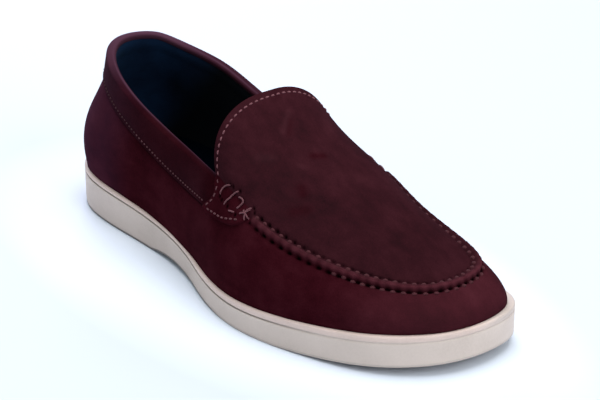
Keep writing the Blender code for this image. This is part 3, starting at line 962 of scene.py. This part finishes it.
def soleRows():
    half, side, lip = soleForm["grooveHalf"], soleForm["grooveSide"], soleForm["lipRound"]
    depth = faintAtToe(soleForm["grooveDepth"], soleForm["toeDepth"], sectionAt(soleRing)["x"])
    level = soleForm["grooveFloor"] * half
    rows = [(inset, baseHeight, raised) for inset, raised in soleForm["foot"]]
    rows += [(inset, grooveHeight, -half - beyond) for inset, beyond in side]
    rows += [(depth, grooveHeight, -level), (depth, grooveHeight, level)]
    rows += [(inset, grooveHeight, half + beyond) for inset, beyond in side[:0:-1]]
    for a in np.radians(np.linspace(0, 90, soleForm["lipSteps"])):
        rows.append((lip * (1 - np.cos(a)), lipHeight, -lip * (1 - np.sin(a))))
    return rows


def paintSole(piece):
    x, y, z = placesOf(piece).T
    overGroove = z - grooveHeight(x)
    inGroove = np.abs(overGroove) < soleForm["grooveFloor"] * soleForm["grooveHalf"] + soleShade["near"]
    # a painted shadow along the sole's lowest edge, darker towards the heel
    atFoot = z - baseHeight(x) < soleShade["footHigh"]
    footShadow = changing(soleShade["foot"], falling(x, *soleShade["footFade"]))
    # painted shade in the groove, fainter round the toe, and on the lip where it turns round the tip
    tipTurn = rising(x, *soleShade["tipAhead"]) * rising(y, *soleShade["tipSide"])
    grooveTone = faintAtToe(soleShade["groove"], soleShade["toeGroove"], x)
    grooveTone = np.where(inGroove, grooveTone, soleShade["tip"] * tipTurn * (overGroove > 0))
    paint(piece, "grooveShade", np.where(atFoot, footShadow, grooveTone))
    # the lip's upper face is painted lighter and pinker, less so round the toe's tip: painted light
    paint(piece, "lipShade", eased(overGroove / soleShade["lipRun"]) * (1 - soleShade["tipDull"] * tipTurn))


sole = slabPiece("rubberSole", soleRows())
paintSole(sole)
keep(sole, "sole_rubber", rubber, soleForm["smooth"], "outsole")

# The insole, with a rounded edge.
insoleForm = {
    "clear": 0.6, "under": 0.3, "side": 2.4, "shoulder": 2.9, "round": 0.9, "turns": (0, 30, 60, 90),
    "smooth": 50,
}


def insoleRows():
    inset = sectionAt(soleRing)["ledge"] + form["wall"] + insoleForm["clear"]
    rows = [(inset, lipHeight, insoleForm["under"]), (inset, lipHeight, insoleForm["side"])]
    for a in np.radians(insoleForm["turns"]):
        raised = insoleForm["shoulder"] + insoleForm["round"] * np.sin(a)
        rows.append((inset + insoleForm["round"] * (1 - np.cos(a)), lipHeight, raised))
    return rows


insole = slabPiece("footbed", insoleRows())
keep(insole, "lining", footbedCloth, insoleForm["smooth"], "insole")
print("sole and insole ready")

# The lining lies just inside the upper's wall and under the apron.
liningForm = {
    "off": 1.75, "overBand": 2.9, "bandFade": (9.0, 4.0), "rim": 1.2, "foot": 2.0, "soften": 7,
    "thickness": 0.5, "rows": 26, "dark": (30, 30), "slant": 0.9, "level": 68, "smooth": 50,
}


def liningSide():
    height = wallHeight(stations)
    order = np.arange(len(stations))
    wide = liningForm["soften"]
    top = np.where((order < firstSide - 1) | (order > lastSide + 1), liningForm["rim"], 0.0)
    top = np.convolve(np.pad(top, wide // 2, mode="wrap"), np.ones(wide) / wide, mode="valid")
    rows = []
    for share in np.linspace(1, 0, liningForm["rows"]):
        depth = top + (height - liningForm["foot"] - top) * share
        band = falling(depth, *liningForm["bandFade"]) * (top / liningForm["rim"])
        off = liningForm["off"] + (liningForm["overBand"] - liningForm["off"]) * band
        rows.append(wallOff(stations, depth, -off))
    return np.array(rows)


def liningPiece():
    side = liningSide()
    apron = plainApron - apronOut * liningForm["off"]
    apron[:, 0] = side[-1][firstSide:firstToe + 1]
    apron[:, -1] = side[-1][lastToe:lastSide + 1][::-1]
    apron[-1] = side[-1][firstToe:lastToe + 1]
    top = layGrid("liningTop", apron[1:, ::-1])
    whole = joinPieces([layGrid("liningBody", side), top], "innerLining")
    weld(whole)
    # the lining is painted darker deeper down and further forward: painted shade
    x, z = placesOf(whole)[:, ::2].T
    sunk = liningForm["slant"] * (liningForm["level"] - z)
    paint(whole, "lowShade", rising(x + sunk, *liningForm["dark"]))
    thicken(whole, liningForm["thickness"])
    return whole


keep(liningPiece(), "lining", lining, liningForm["smooth"])
print("lining ready")

# The ears: wings of the vamp that lie over the band's ends and run out into the apron.
earForm = {
    "rear": [(0.3, -4.2), (0.6, 0.0), (2.2, 2.4), (3.2, 5.4), (1.8, 8.0), (-0.4, 10.8), (-2.2, 13.4)],
    "low": [(-2.2, 13.4), (0.4, 14.0), (6.0, 13.3), (13.5, 11.8), (20.2, 10.0), (27.8, 7.0), (33.6, 2.6)],
    "front": (34.6, -3.6), "skin": 1.75, "over": 0.7, "overAt": -2, "overHalf": 6,
    "blend": 4.2, "blendEnd": 0.8, "frontSkin": 0.3, "frontFade": (35, 6),
    "round": 0.8, "sink": 0.25, "thickness": 0.5,
    "rearEdge": (0, 0.003, 0.008, 0.016, 0.028), "across": (0.045, 1, 56),
    "down": (0, 0.91, 28), "lowEdge": (0.945, 0.968, 0.984, 0.994, 1.0),
    "hole": 0.7, "holePaintedShade": 1.5, "smooth": 60,
}


def earLift(places):
    # how far the ear's face stands off the upper
    ahead, depth = places[..., 0], places[..., 1]
    full = earForm["skin"] + earForm["over"] * bell(ahead - earForm["overAt"], earForm["overHalf"])
    full = full * rising(depth, -earForm["blend"], earForm["blend"] + earForm["blendEnd"])
    return full * (earForm["frontSkin"] + (1 - earForm["frontSkin"]) * falling(ahead, *earForm["frontFade"]))


def earPiece(name, way):
    across = np.concatenate([earForm["rearEdge"], np.linspace(*earForm["across"])])
    down = np.concatenate([np.linspace(*earForm["down"]), earForm["lowEdge"]])
    rear, low = traced(earForm["rear"], down), traced(earForm["low"], across)
    high = rear[0] + (np.array(earForm["front"]) - rear[0]) * across[:, None]
    front = high[-1] + (low[-1] - high[-1]) * down[:, None]
    t, w = across[:, None, None], down[None, :, None]
    patch = (1 - w) * high[:, None] + w * low[:, None] + (1 - t) * rear[None] + t * front[None]
    patch -= (1 - t) * ((1 - w) * high[0] + w * low[0]) + t * ((1 - w) * high[-1] + w * low[-1])
    fromRear = np.linalg.norm(patch - rear[None], axis=2)
    edge = np.minimum(fromRear, np.linalg.norm(patch - low[:, None], axis=2))
    turned = np.sqrt(1 - (1 - np.clip(edge / earForm["round"], 0, 1)) ** 2)
    place, normal = onWing(way, patch)
    hole = np.zeros(edge.shape)
    for centre in whipHoles:
        hole = np.maximum(hole, bell(np.linalg.norm(patch - centre, axis=2), whipHoleHalf))
    lift = earLift(patch) * turned - earForm["sink"] * (1 - turned) - earForm["hole"] * hole
    laid = np.moveaxis(place + normal * lift[..., None], 0, 1)[::-way]
    piece = layGrid(name, laid)
    # the whip holes are painted dark: painted shade in them
    paint(piece, "holeShade", np.clip(earForm["holePaintedShade"] * hole, 0, 1).T[::-way])
    thicken(piece, earForm["thickness"])
    return piece


keep(earPiece("earOuter", 1), "suede", suede, earForm["smooth"], "ear_lateral")
keep(earPiece("earInner", -1), "suede", suede, earForm["smooth"], "ear_medial")
print("ears ready")

# The folded collar band: outer leg, rolled rim and a short inner leg. Its ends go under the ears.
bandForm = {
    "skin": 1.1, "pad": 1.9, "tuck": 0.2, "edge": [(0.0, 0.55), (0.15, 0.22), (0.5, 0.0)],
    "faceFrom": 1.2, "faceTo": 0.6, "faceSteps": 14, "puff": 0.45, "puffShort": 1.6, "puffPower": 0.8,
    "dimple": 0.25, "dimpleUp": 2.6, "dimpleHalf": 0.7, "rollSteps": 15,
    "innerLeg": [(0.3, 0.0), (0.9, 0.05), (1.5, 0.2), (2.0, 0.7)], "innerEnd": 2.3,
    "ends": [(1.8, 0.3), (-1.2, 1.0)],  # how far under the ear, the share of the skin that is left there
    "short": 4, "waver": 0.35, "firm": 4, "smooth": 60,
}
# behind, roll and back place the painted highlight where the roll turns to the light behind; crest and
# highlit place it along the crest
bandShade = {
    "behind": (62, 50), "behindShare": 0.75, "farSide": (0, 20), "farShare": 0.2,
    "crestOff": -2.4, "crestHalf": 0.7, "crestDeep": 0.5, "roll": (0.4, 1.6),
    "back": (2.2, 1), "backShare": 0.6, "highlit": (0.7, -0.35), "highlitFade": (55, 70),
    "most": 0.8, "heel": 0.22, "heelFade": (95, 50),
}


def bandProfile(width):
    # depth under the top edge and offset from the wall's face, once round the band
    out, back = form["gap"] + bandForm["skin"], form["wall"] + form["gap"] + bandForm["pad"]
    middle = (out - back) / 2
    rows = [(width, -bandForm["tuck"])] + [(width - up, out - less) for up, less in bandForm["edge"]]
    for depth in np.linspace(width - bandForm["faceFrom"], bandForm["faceTo"], bandForm["faceSteps"]):
        share = np.clip(depth / (width - bandForm["puffShort"]), 0, 1)
        swell = bandForm["puff"] * np.sin(np.pi * share) ** bandForm["puffPower"]
        dimple = bandForm["dimple"] * bell(depth - width + bandForm["dimpleUp"], bandForm["dimpleHalf"])
        rows.append((depth, out + swell - dimple))
    for a in np.radians(np.linspace(0, 180, bandForm["rollSteps"])):
        rows.append((-out * np.sin(a), middle + (out - middle) * np.cos(a)))
    rows += [(depth, raised - back) for depth, raised in bandForm["innerLeg"]]
    rows.append((bandForm["innerEnd"], -form["wall"]))
    return np.array(rows + rows[:1])


def bandEnds(throat, way):
    depth, offset = bandProfile(form["band"][-1, 1]).T
    rear = np.array(earForm["rear"])
    short = np.interp(depth, rear[1:, 1], rear[1:, 0])
    rings = []
    for under, left in bandForm["ends"]:
        s = placesBeside(form[throat], way, short + under)
        rings.append((s, depth, np.where(offset > 0, offset * left, offset)))
    return rings


def bandGrid():
    short = bandForm["short"]
    places = np.concatenate([stations[lastSide + short:-1], stations[:firstSide + 1 - short]])
    rings = bandEnds("throatIn", -1)
    for s, width in zip(places, bandWidth(sectionAt(places)["x"])):
        depth, offset = bandProfile(width).T
        rings.append((np.full(len(depth), s), depth, offset))
    rings += bandEnds("throatOut", 1)[::-1]
    laid = np.array([wallOff(*ring) for ring in rings])
    wave = bandForm["waver"] * unevenness(laid.reshape(-1, 3)).reshape(laid.shape[:2])
    face = slice(bandForm["firm"], -bandForm["firm"])  # the edge that is tucked in stays where it is
    laid[:, face] += gridNormals(laid)[:, face] * wave[:, face, None]
    return np.moveaxis(laid, 0, 1)


def paintBand(piece, laid):
    # painted highlights: the roll is paler where it turns to the light behind, and along its crest
    depth, offset = bandProfile(form["band"][0, 1]).T
    x, y = laid[0, :, :2].T
    behind = bandShade["behindShare"] * falling(x, *bandShade["behind"])
    behind = behind + bandShade["farShare"] * rising(y, *bandShade["farSide"])
    crest = bell(offset - bandShade["crestOff"], bandShade["crestHalf"]) * (depth < bandShade["crestDeep"])
    innerTurn = bandShade["backShare"] * rising(-offset, *bandShade["back"])
    turned = np.maximum(falling(depth, *bandShade["roll"]), innerTurn)
    highlit = changing(bandShade["highlit"], rising(x, *bandShade["highlitFade"]))
    rimHighlight = np.maximum(turned[:, None] * behind, highlit * crest[:, None])
    paint(piece, "rubShade", np.clip(rimHighlight, 0, bandShade["most"]))
    # the band gets a little of the heel's painted bluish sheen
    paint(piece, "heelShade", bandShade["heel"] * falling(laid[..., 0], *bandShade["heelFade"]))


bandLaid = bandGrid()
band = layGrid("collarBand", bandLaid)
bandFace = faceOf(band)
paintBand(band, bandLaid)
weld(band)
capEnds(band)
keep(band, "suede", bandSuede, bandForm["smooth"], "collar_band")
print("band ready")

# Stitches: one is modelled, then copied along each row. Sizes are length, width and thickness.
stitchForm = {"segments": 10, "rings": 7, "blunt": 0.8, "dip": 0.45, "dipPower": 3, "smooth": 180}
rowForm = {
    "tongueRow": 6, "tongueIn": 3.5, "tonguePitch": 3.3, "tongueMargin": 0.6, "tongueLift": 0.15,
    "bandIn": 2.0, "bandOff": 1.7, "bandPitch": 2.8, "bandMargin": 1.0, "bandLift": 0.12,
    "bandMiddle": (70, 0, 50), "heelEnd": 78,
    "earPitch": 3.2, "earMargin": 0.2, "earLift": 0.12, "earSteps": 60,
    "edgeStitch": (2.2, 0.95, 0.7), "bandStitch": (1.4, 0.85, 0.6),
    "seamStitch": (2.8, 2.1, 1.3), "seamLean": 0.45, "slotStitch": (2.8, 1.9, 1.2), "slotLean": 0.2,
    "slotFrom": 243, "slotUp": 0.8, "seamLift": 0.1, "seamStep": 0.4, "lineStep": 0.3,
    "earRear": [(3.4, -3.4), (3.7, -0.6), (4.7, 2.6), (5.1, 5.4), (3.6, 8.6), (1.0, 11.7)],
    "earLow": [(2.6, 12.0), (8.0, 10.9), (12.8, 9.9), (17.2, 8.9), (22.2, 7.0), (27.2, 4.9), (30.0, 3.8)],
}
sides = ((1, "Outer"), (-1, "Inner"))


def oneStitch():
    pick()
    bpy.ops.mesh.primitive_uv_sphere_add(
        segments=stitchForm["segments"], ring_count=stitchForm["rings"], radius=0.5)
    stitch = bpy.context.object
    startEdit(stitch)
    bpy.ops.transform.rotate(value=math.pi / 2, orient_axis="Y", center_override=(0, 0, 0))
    bpy.ops.object.mode_set(mode="OBJECT")
    for point in stitch.data.vertices:  # blunt the ends and dip them into the leather
        x = point.co.x
        point.co.x = math.copysign(abs(2 * x) ** stitchForm["blunt"] / 2, x)
        point.co.z -= stitchForm["dip"] * (2 * abs(point.co.x)) ** stitchForm["dipPower"]
    return stitch


stitchShape = oneStitch()


def sewRow(name, places, normals, runs, size, material, lean=0.0):
    # lean turns each stitch on the surface
    toSize = Matrix.Diagonal((millimetre, millimetre, millimetre, 1))
    copies = []
    for place, normal, run in zip(places, normals, runs):
        up = Vector(normal).normalized()
        along = Vector(run)
        along = (along - up * along.dot(up)).normalized()
        along = Matrix.Rotation(lean, 3, up) @ along
        side = up.cross(along)
        turn = Matrix((along * size[0], side * size[1], up * size[2])).transposed().to_4x4()
        copy = stitchShape.copy()
        copy.data = stitchShape.data.copy()
        bpy.context.scene.collection.objects.link(copy)
        copy.matrix_world = Matrix.Translation(Vector(toMetres(place))) @ toSize @ turn
        copies.append(copy)
    keep(joinPieces(copies, name), "suede", material, stitchForm["smooth"])


def onFace(tree, points, lift):
    places, normals = [], []
    for point in points:
        place, normal = tree.find_nearest(Vector(toMetres(point)))[:2]
        places.append(toMillimetres(place) + np.array(normal) * lift)
        normals.append(np.array(normal))
    return np.array(places), np.array(normals)


def evenly(line, pitch, margin):
    # points and directions at an even pitch along a line of points
    run = runAlong(line)
    count = int((run[-1] - 2 * margin) / pitch)
    at = margin + (np.arange(count) + 0.5) * (run[-1] - 2 * margin) / count
    step = rowForm["lineStep"]
    return columnsAt(at, run, line), columnsAt(at + step, run, line) - columnsAt(at - step, run, line)


# along the tongue's edge, on to the ears
tongueIn = plainApron[rowForm["tongueRow"]] - plainApron[0]
tongueLine = plainApron[0] + tongueIn * (rowForm["tongueIn"] / np.linalg.norm(tongueIn, axis=1))[:, None]
spots, runs = evenly(tongueLine, rowForm["tonguePitch"], rowForm["tongueMargin"])
spots, normals = onFace(upperFace, spots, rowForm["tongueLift"])
sewRow("tongueStitches", spots, normals, runs, rowForm["edgeStitch"], thread)

for way, side in sides:
    for edge in ("earRear", "earLow"):
        line = traced(rowForm[edge], np.linspace(0, 1, rowForm["earSteps"]))
        place, normal = onWing(way, line)
        lifted = place + normal * (earLift(line) + rowForm["earLift"])[:, None]
        spots, runs = evenly(lifted, rowForm["earPitch"], rowForm["earMargin"])
        nearest = [np.argmin(np.linalg.norm(lifted - spot, axis=1)) for spot in spots]
        sewRow(edge + "Stitches" + side, spots, normal[nearest], runs, rowForm["edgeStitch"], dullThread)

# along the band's lower edge
rowPlaces = np.concatenate([stations[lastSide + 1:-1], stations[:firstSide]])
rowDepth = bandWidth(sectionAt(rowPlaces)["x"]) - rowForm["bandIn"]
rowLine = wallOff(rowPlaces, rowDepth, np.full(len(rowPlaces), rowForm["bandOff"]))
bandAt, bandRun = evenly(rowLine, rowForm["bandPitch"], rowForm["bandMargin"])
bandSpots, bandNormals = onFace(bandFace, bandAt, rowForm["bandLift"])
bandNormals *= np.sign(np.sum(bandNormals * (bandAt - rowForm["bandMiddle"]), axis=1))[:, None]
forward = bandSpots[:, 0] > rowForm["heelEnd"]
for name, part, material in (("bandStitches", forward, faintThread), ("heelStitches", ~forward, dimThread)):
    sewRow(name, bandSpots[part], bandNormals[part], bandRun[part], rowForm["bandStitch"], material)


def sewSeam(name, at, row, across, size, lean):
    # the stitches follow a row beside the seam, and across is where they lie
    step = rowForm["seamStep"]
    spots, normals = onFace(upperFace, besideSeam(at, across), rowForm["seamLift"])
    runs = besideSeam(at + step, row) - besideSeam(at - step, row)
    sewRow(name, spots, normals, runs, size, seamThread, lean)


# beside the raised seam: lumps over the bead, and thread in the slots under it round the toe
overRow, underRow = -seamForm["apronRow"], seamForm["wallRow"]
underAt = sewn[np.interp(sewn, seamRun, seamRow["x"]) > rowForm["slotFrom"]]
sewSeam("seamStitchesApron", sewn, overRow, overRow, rowForm["seamStitch"], rowForm["seamLean"])
sewSeam("seamStitchesWall", underAt, underRow, underRow - rowForm["slotUp"], rowForm["slotStitch"],
        rowForm["slotLean"])

# the heavy whipped stitches at the rear end of the seam
whipForm = {
    "radius": 0.4, "steps": 15, "off": 0.3, "bow": 0.35, "sunk": 1.0, "sunkPower": 8, "smooth": 60,
    "loops": [
        [(8.6, 2.4), (8.9, 0.2), (10.8, -2.8), (15.0, -5.6)],
        [(14.8, 4.4), (16.6, 1.0), (19.3, -3.0), (23.4, -6.8)],
        [(23.5, -3.8), (26.4, -5.0), (28.6, -4.6), (27.6, -2.2), (24.8, 1.2)],
        [(20.6, 4.1), (24.6, 2.9)],
        [(33.0, 2.6), (32.2, -0.6), (35.2, -4.4)],
        [(28.4, 1.8), (31.0, 0.1), (34.6, -3.5)],
        [(30.2, -1.2), (34.6, 0.9)],
    ],
}


def whipLoop(way, corners):
    # a thread laid over the leather, sunk into it at both ends
    shares = np.linspace(0, 1, whipForm["steps"])
    line = traced(corners, shares)
    place, normal = onWing(way, line)
    lift = earLift(line) + whipForm["off"] + whipForm["bow"] * np.sin(np.pi * shares)
    lift = lift - whipForm["sunk"] * np.abs(2 * shares - 1) ** whipForm["sunkPower"]
    pick()
    bpy.ops.curve.primitive_nurbs_path_add()
    path = bpy.context.object
    path.data.splines.clear()
    track = path.data.splines.new("POLY")
    track.points.add(len(line) - 1)
    for point, spot in zip(track.points, toMetres(place + normal * lift[:, None])):
        point.co = (*spot, 1.0)
    path.data.bevel_depth = whipForm["radius"] * millimetre
    path.data.bevel_resolution = 3
    path.data.use_fill_caps = True
    bpy.ops.object.convert(target="MESH")
    return bpy.context.object


for way, side in sides:
    whips = joinPieces([whipLoop(way, corners) for corners in whipForm["loops"]], "whipStitches" + side)
    keep(whips, "suede", whipThread, whipForm["smooth"])

bpy.data.objects.remove(stitchShape)
print("stitches sewn")

# Stage: a pale floor with a painted pool of light round the shoe, soft studio light and the camera.
stageForm = {
    "floorSize": 6.0, "floorConstants": {"Roughness": 0.7, "Specular IOR Level": 0.2},
    "floorBounce": (0.81, 0.85, 0.92, 1.0), "floorTones": [(0.49, 0.54, 0.60), (0.71, 0.78, 0.88)],
    "paintedLightPool": (4.6, 9.4, 1.0), "paintedLightPoolStops": (0.0, 0.5), "skyTone": (0.93, 0.97, 1.0, 1.0), "skyPower": 0.6,
    "lights": [  # name, place, aim, size, power, tone
        ("overhead", (0.1, 0.15, 1.6), (0, 0, 0.05), 1.6, 30.0, (1.0, 1.0, 1.0)),
        ("toeSide", (1.2, 0.1, 0.8), (0.1, 0, 0.03), 0.8, 8.0, (1.0, 1.0, 1.0)),
        ("heelSide", (-1.2, 0.5, 0.55), (-0.1, 0, 0.06), 0.8, 12.0, (0.80, 0.78, 1.0)),
    ],
}
cameraForm = {
    "azimuth": 52.53, "elevation": 22.58, "roll": 0.3, "focal": 2213.4, "distance": 1413.8,
    "offset": (-64.4, -9.44), "target": (147.0, 0.0, 35.0), "centre": (219.0, 213.0), "enlarge": 1.3,
    "picture": (600.0, 400.0), "sensor": 36.0, "clipEnd": 20.0,
}


def layFloor():
    pick()
    bpy.ops.mesh.primitive_plane_add(size=stageForm["floorSize"], location=(0, 0, 0))
    floor = bpy.context.object
    floor.name = "floor"
    material, shader, wire, place = startMaterial("paleFloor", stageForm["floorConstants"])
    # the floor that is seen is dimmer than the light it throws back, and a pool of light is painted on it
    # round the shoe
    seen = wire.make("ShaderNodeLightPath")
    paintedLightPool = wire.make("ShaderNodeMapping", {}, {"Vector": place, "Scale": stageForm["paintedLightPool"]})
    paintedLightPool = wire.make("ShaderNodeTexGradient", {"gradient_type": "SPHERICAL"}, {"Vector": paintedLightPool}, 1)
    tone = paintedLightPool.ramp(stageForm["paintedLightPoolStops"], stageForm["floorTones"])
    plug(wire, shader, Base_Color=wire.blend(seen, stageForm["floorBounce"], tone))
    floor.data.materials.append(material)


def openSky():
    world = bpy.data.worlds.new("studio")
    bpy.context.scene.world = world
    world.use_nodes = True
    sky = world.node_tree.nodes["Background"]
    sky.inputs["Color"].default_value = stageForm["skyTone"]
    sky.inputs["Strength"].default_value = stageForm["skyPower"]


def softLight(name, place, aim, size, power, tone):
    bpy.ops.object.light_add(type="AREA", location=place)
    light = bpy.context.object
    light.name = name
    light.data.shape = "DISK"
    light.data.size = size
    light.data.energy = power
    light.data.color = tone
    light.rotation_euler = (Vector(aim) - Vector(place)).to_track_quat("-Z", "Y").to_euler()


def placeCamera():
    turn, rise, roll = (math.radians(cameraForm[key]) for key in ("azimuth", "elevation", "roll"))
    right = np.array([math.cos(turn), math.sin(turn), 0.0])
    ahead = -np.array([math.sin(turn) * math.cos(rise), -math.cos(turn) * math.cos(rise), math.sin(rise)])
    up = np.cross(right, ahead)
    right, up = right * math.cos(roll) + up * math.sin(roll), -right * math.sin(roll) + up * math.cos(roll)
    across, over = cameraForm["offset"]
    eye = np.array(cameraForm["target"]) - (across * right + over * up + cameraForm["distance"] * ahead)
    shift = np.array(cameraForm["centre"]) - np.array(cameraForm["picture"]) / 2
    aim = ahead + right * shift[0] / cameraForm["focal"] - up * shift[1] / cameraForm["focal"]
    stretch = np.linalg.norm(aim)
    aim /= stretch
    side = unit(np.cross(aim, up))
    head = np.cross(side, aim)
    bpy.ops.object.camera_add()
    camera = bpy.context.object
    camera.name = "photoCamera"
    camera.matrix_world = Matrix(np.column_stack([side, head, -aim]).tolist()).to_4x4()
    camera.location = Vector(toMetres(eye))
    camera.data.sensor_width = cameraForm["sensor"]
    longer = cameraForm["focal"] * cameraForm["enlarge"] * stretch
    camera.data.lens = cameraForm["sensor"] * longer / cameraForm["picture"][0]
    camera.data.clip_end = cameraForm["clipEnd"]
    bpy.context.scene.camera = camera


layFloor()
openSky()
for light in stageForm["lights"]:
    softLight(*light)
placeCamera()
bpy.context.scene.view_settings.view_transform = "Standard"
print("stage set")
